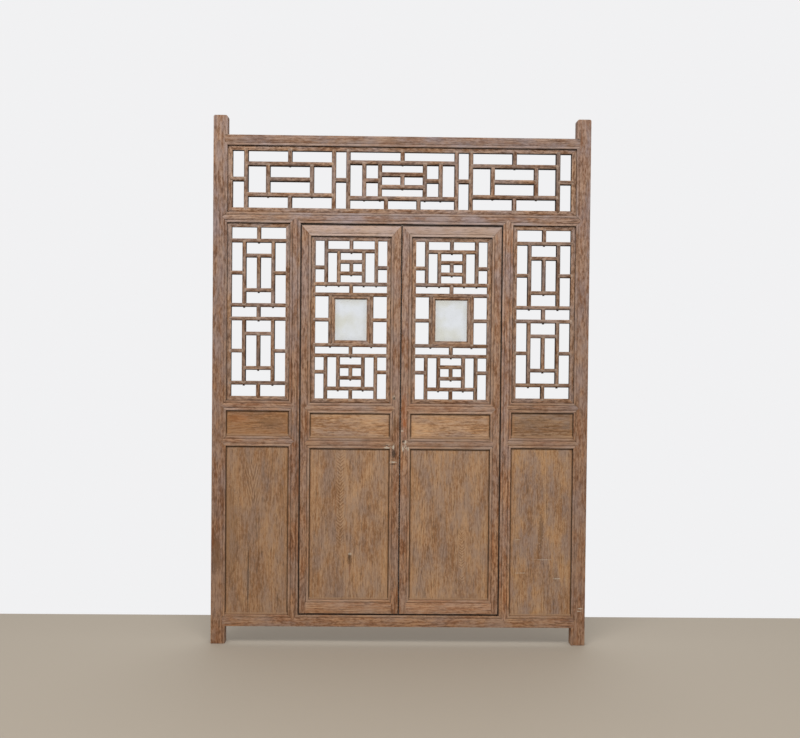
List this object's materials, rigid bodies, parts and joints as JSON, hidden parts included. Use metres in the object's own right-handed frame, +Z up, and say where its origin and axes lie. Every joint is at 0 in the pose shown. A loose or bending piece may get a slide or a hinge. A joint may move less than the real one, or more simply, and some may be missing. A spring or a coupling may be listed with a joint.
{
  "type": "lattice double door with frame",
  "caption": "Weathered wooden double door with lattice and raised panels, turning on wooden pivots in a post-and-rail frame with fixed lattice side bays and a lattice transom.",
  "frame": {"origin": "on the floor, midway between the two posts and midway through their depth", "axes": "+Z up, +X to the right seen from the moulded front, which faces -Y; the leaves open towards +Y"},
  "size_m": [1.71, 0.06, 2.4],
  "materials": {
    "frame_wood": "weathered, bare",
    "leaf_wood": "weathered, bare",
    "panel_wood": "weathered, bare",
    "lattice_wood": "weathered, bare",
    "glass": "clear, dusty"
  },
  "bodies": {
    "frame": {"top_rail": "frame_wood", "transom_rail": "frame_wood", "bottom_rail": "frame_wood", "transom_lattice_border": "lattice_wood", "transom_lattice_bars": "lattice_wood", "left_post": "frame_wood", "left_jamb": "frame_wood", "left_side_lower_rail": "frame_wood", "left_side_upper_rail": "frame_wood", "left_side_tall_panel": "panel_wood", "left_side_small_panel": "panel_wood", "left_side_lattice_border": "lattice_wood", "left_side_lattice_bars": "lattice_wood", "right_post": "frame_wood", "right_jamb": "frame_wood", "right_side_lower_rail": "frame_wood", "right_side_upper_rail": "frame_wood", "right_side_tall_panel": "panel_wood", "right_side_small_panel": "panel_wood", "right_side_lattice_border": "lattice_wood", "right_side_lattice_bars": "lattice_wood"},
    "left_leaf": {"left_leaf_hinge_stile": "leaf_wood", "left_leaf_meeting_stile": "leaf_wood", "left_leaf_bottom_rail": "leaf_wood", "left_leaf_lower_rail": "leaf_wood", "left_leaf_upper_rail": "leaf_wood", "left_leaf_top_rail": "leaf_wood", "left_leaf_tall_panel": "panel_wood", "left_leaf_small_panel": "panel_wood", "left_leaf_lattice_border": "lattice_wood", "left_leaf_lattice_bars": "lattice_wood", "left_leaf_pane_frame": "lattice_wood", "left_leaf_glass": "glass"},
    "right_leaf": {"right_leaf_hinge_stile": "leaf_wood", "right_leaf_meeting_stile": "leaf_wood", "right_leaf_bottom_rail": "leaf_wood", "right_leaf_lower_rail": "leaf_wood", "right_leaf_upper_rail": "leaf_wood", "right_leaf_top_rail": "leaf_wood", "right_leaf_tall_panel": "panel_wood", "right_leaf_small_panel": "panel_wood", "right_leaf_lattice_border": "lattice_wood", "right_leaf_lattice_bars": "lattice_wood", "right_leaf_pane_frame": "lattice_wood", "right_leaf_glass": "glass"}
  },
  "joints": [
    {"name": "left_leaf_swing", "type": "hinge", "parent": "frame", "child": "left_leaf", "pos_m": [-0.438, -0.005, 1], "axis": [0, 0, 1], "range_deg": [0, 90]},
    {"name": "right_leaf_swing", "type": "hinge", "parent": "frame", "child": "right_leaf", "pos_m": [0.438, -0.005, 1], "axis": [0, 0, -1], "range_deg": [0, 90]}
  ]
}
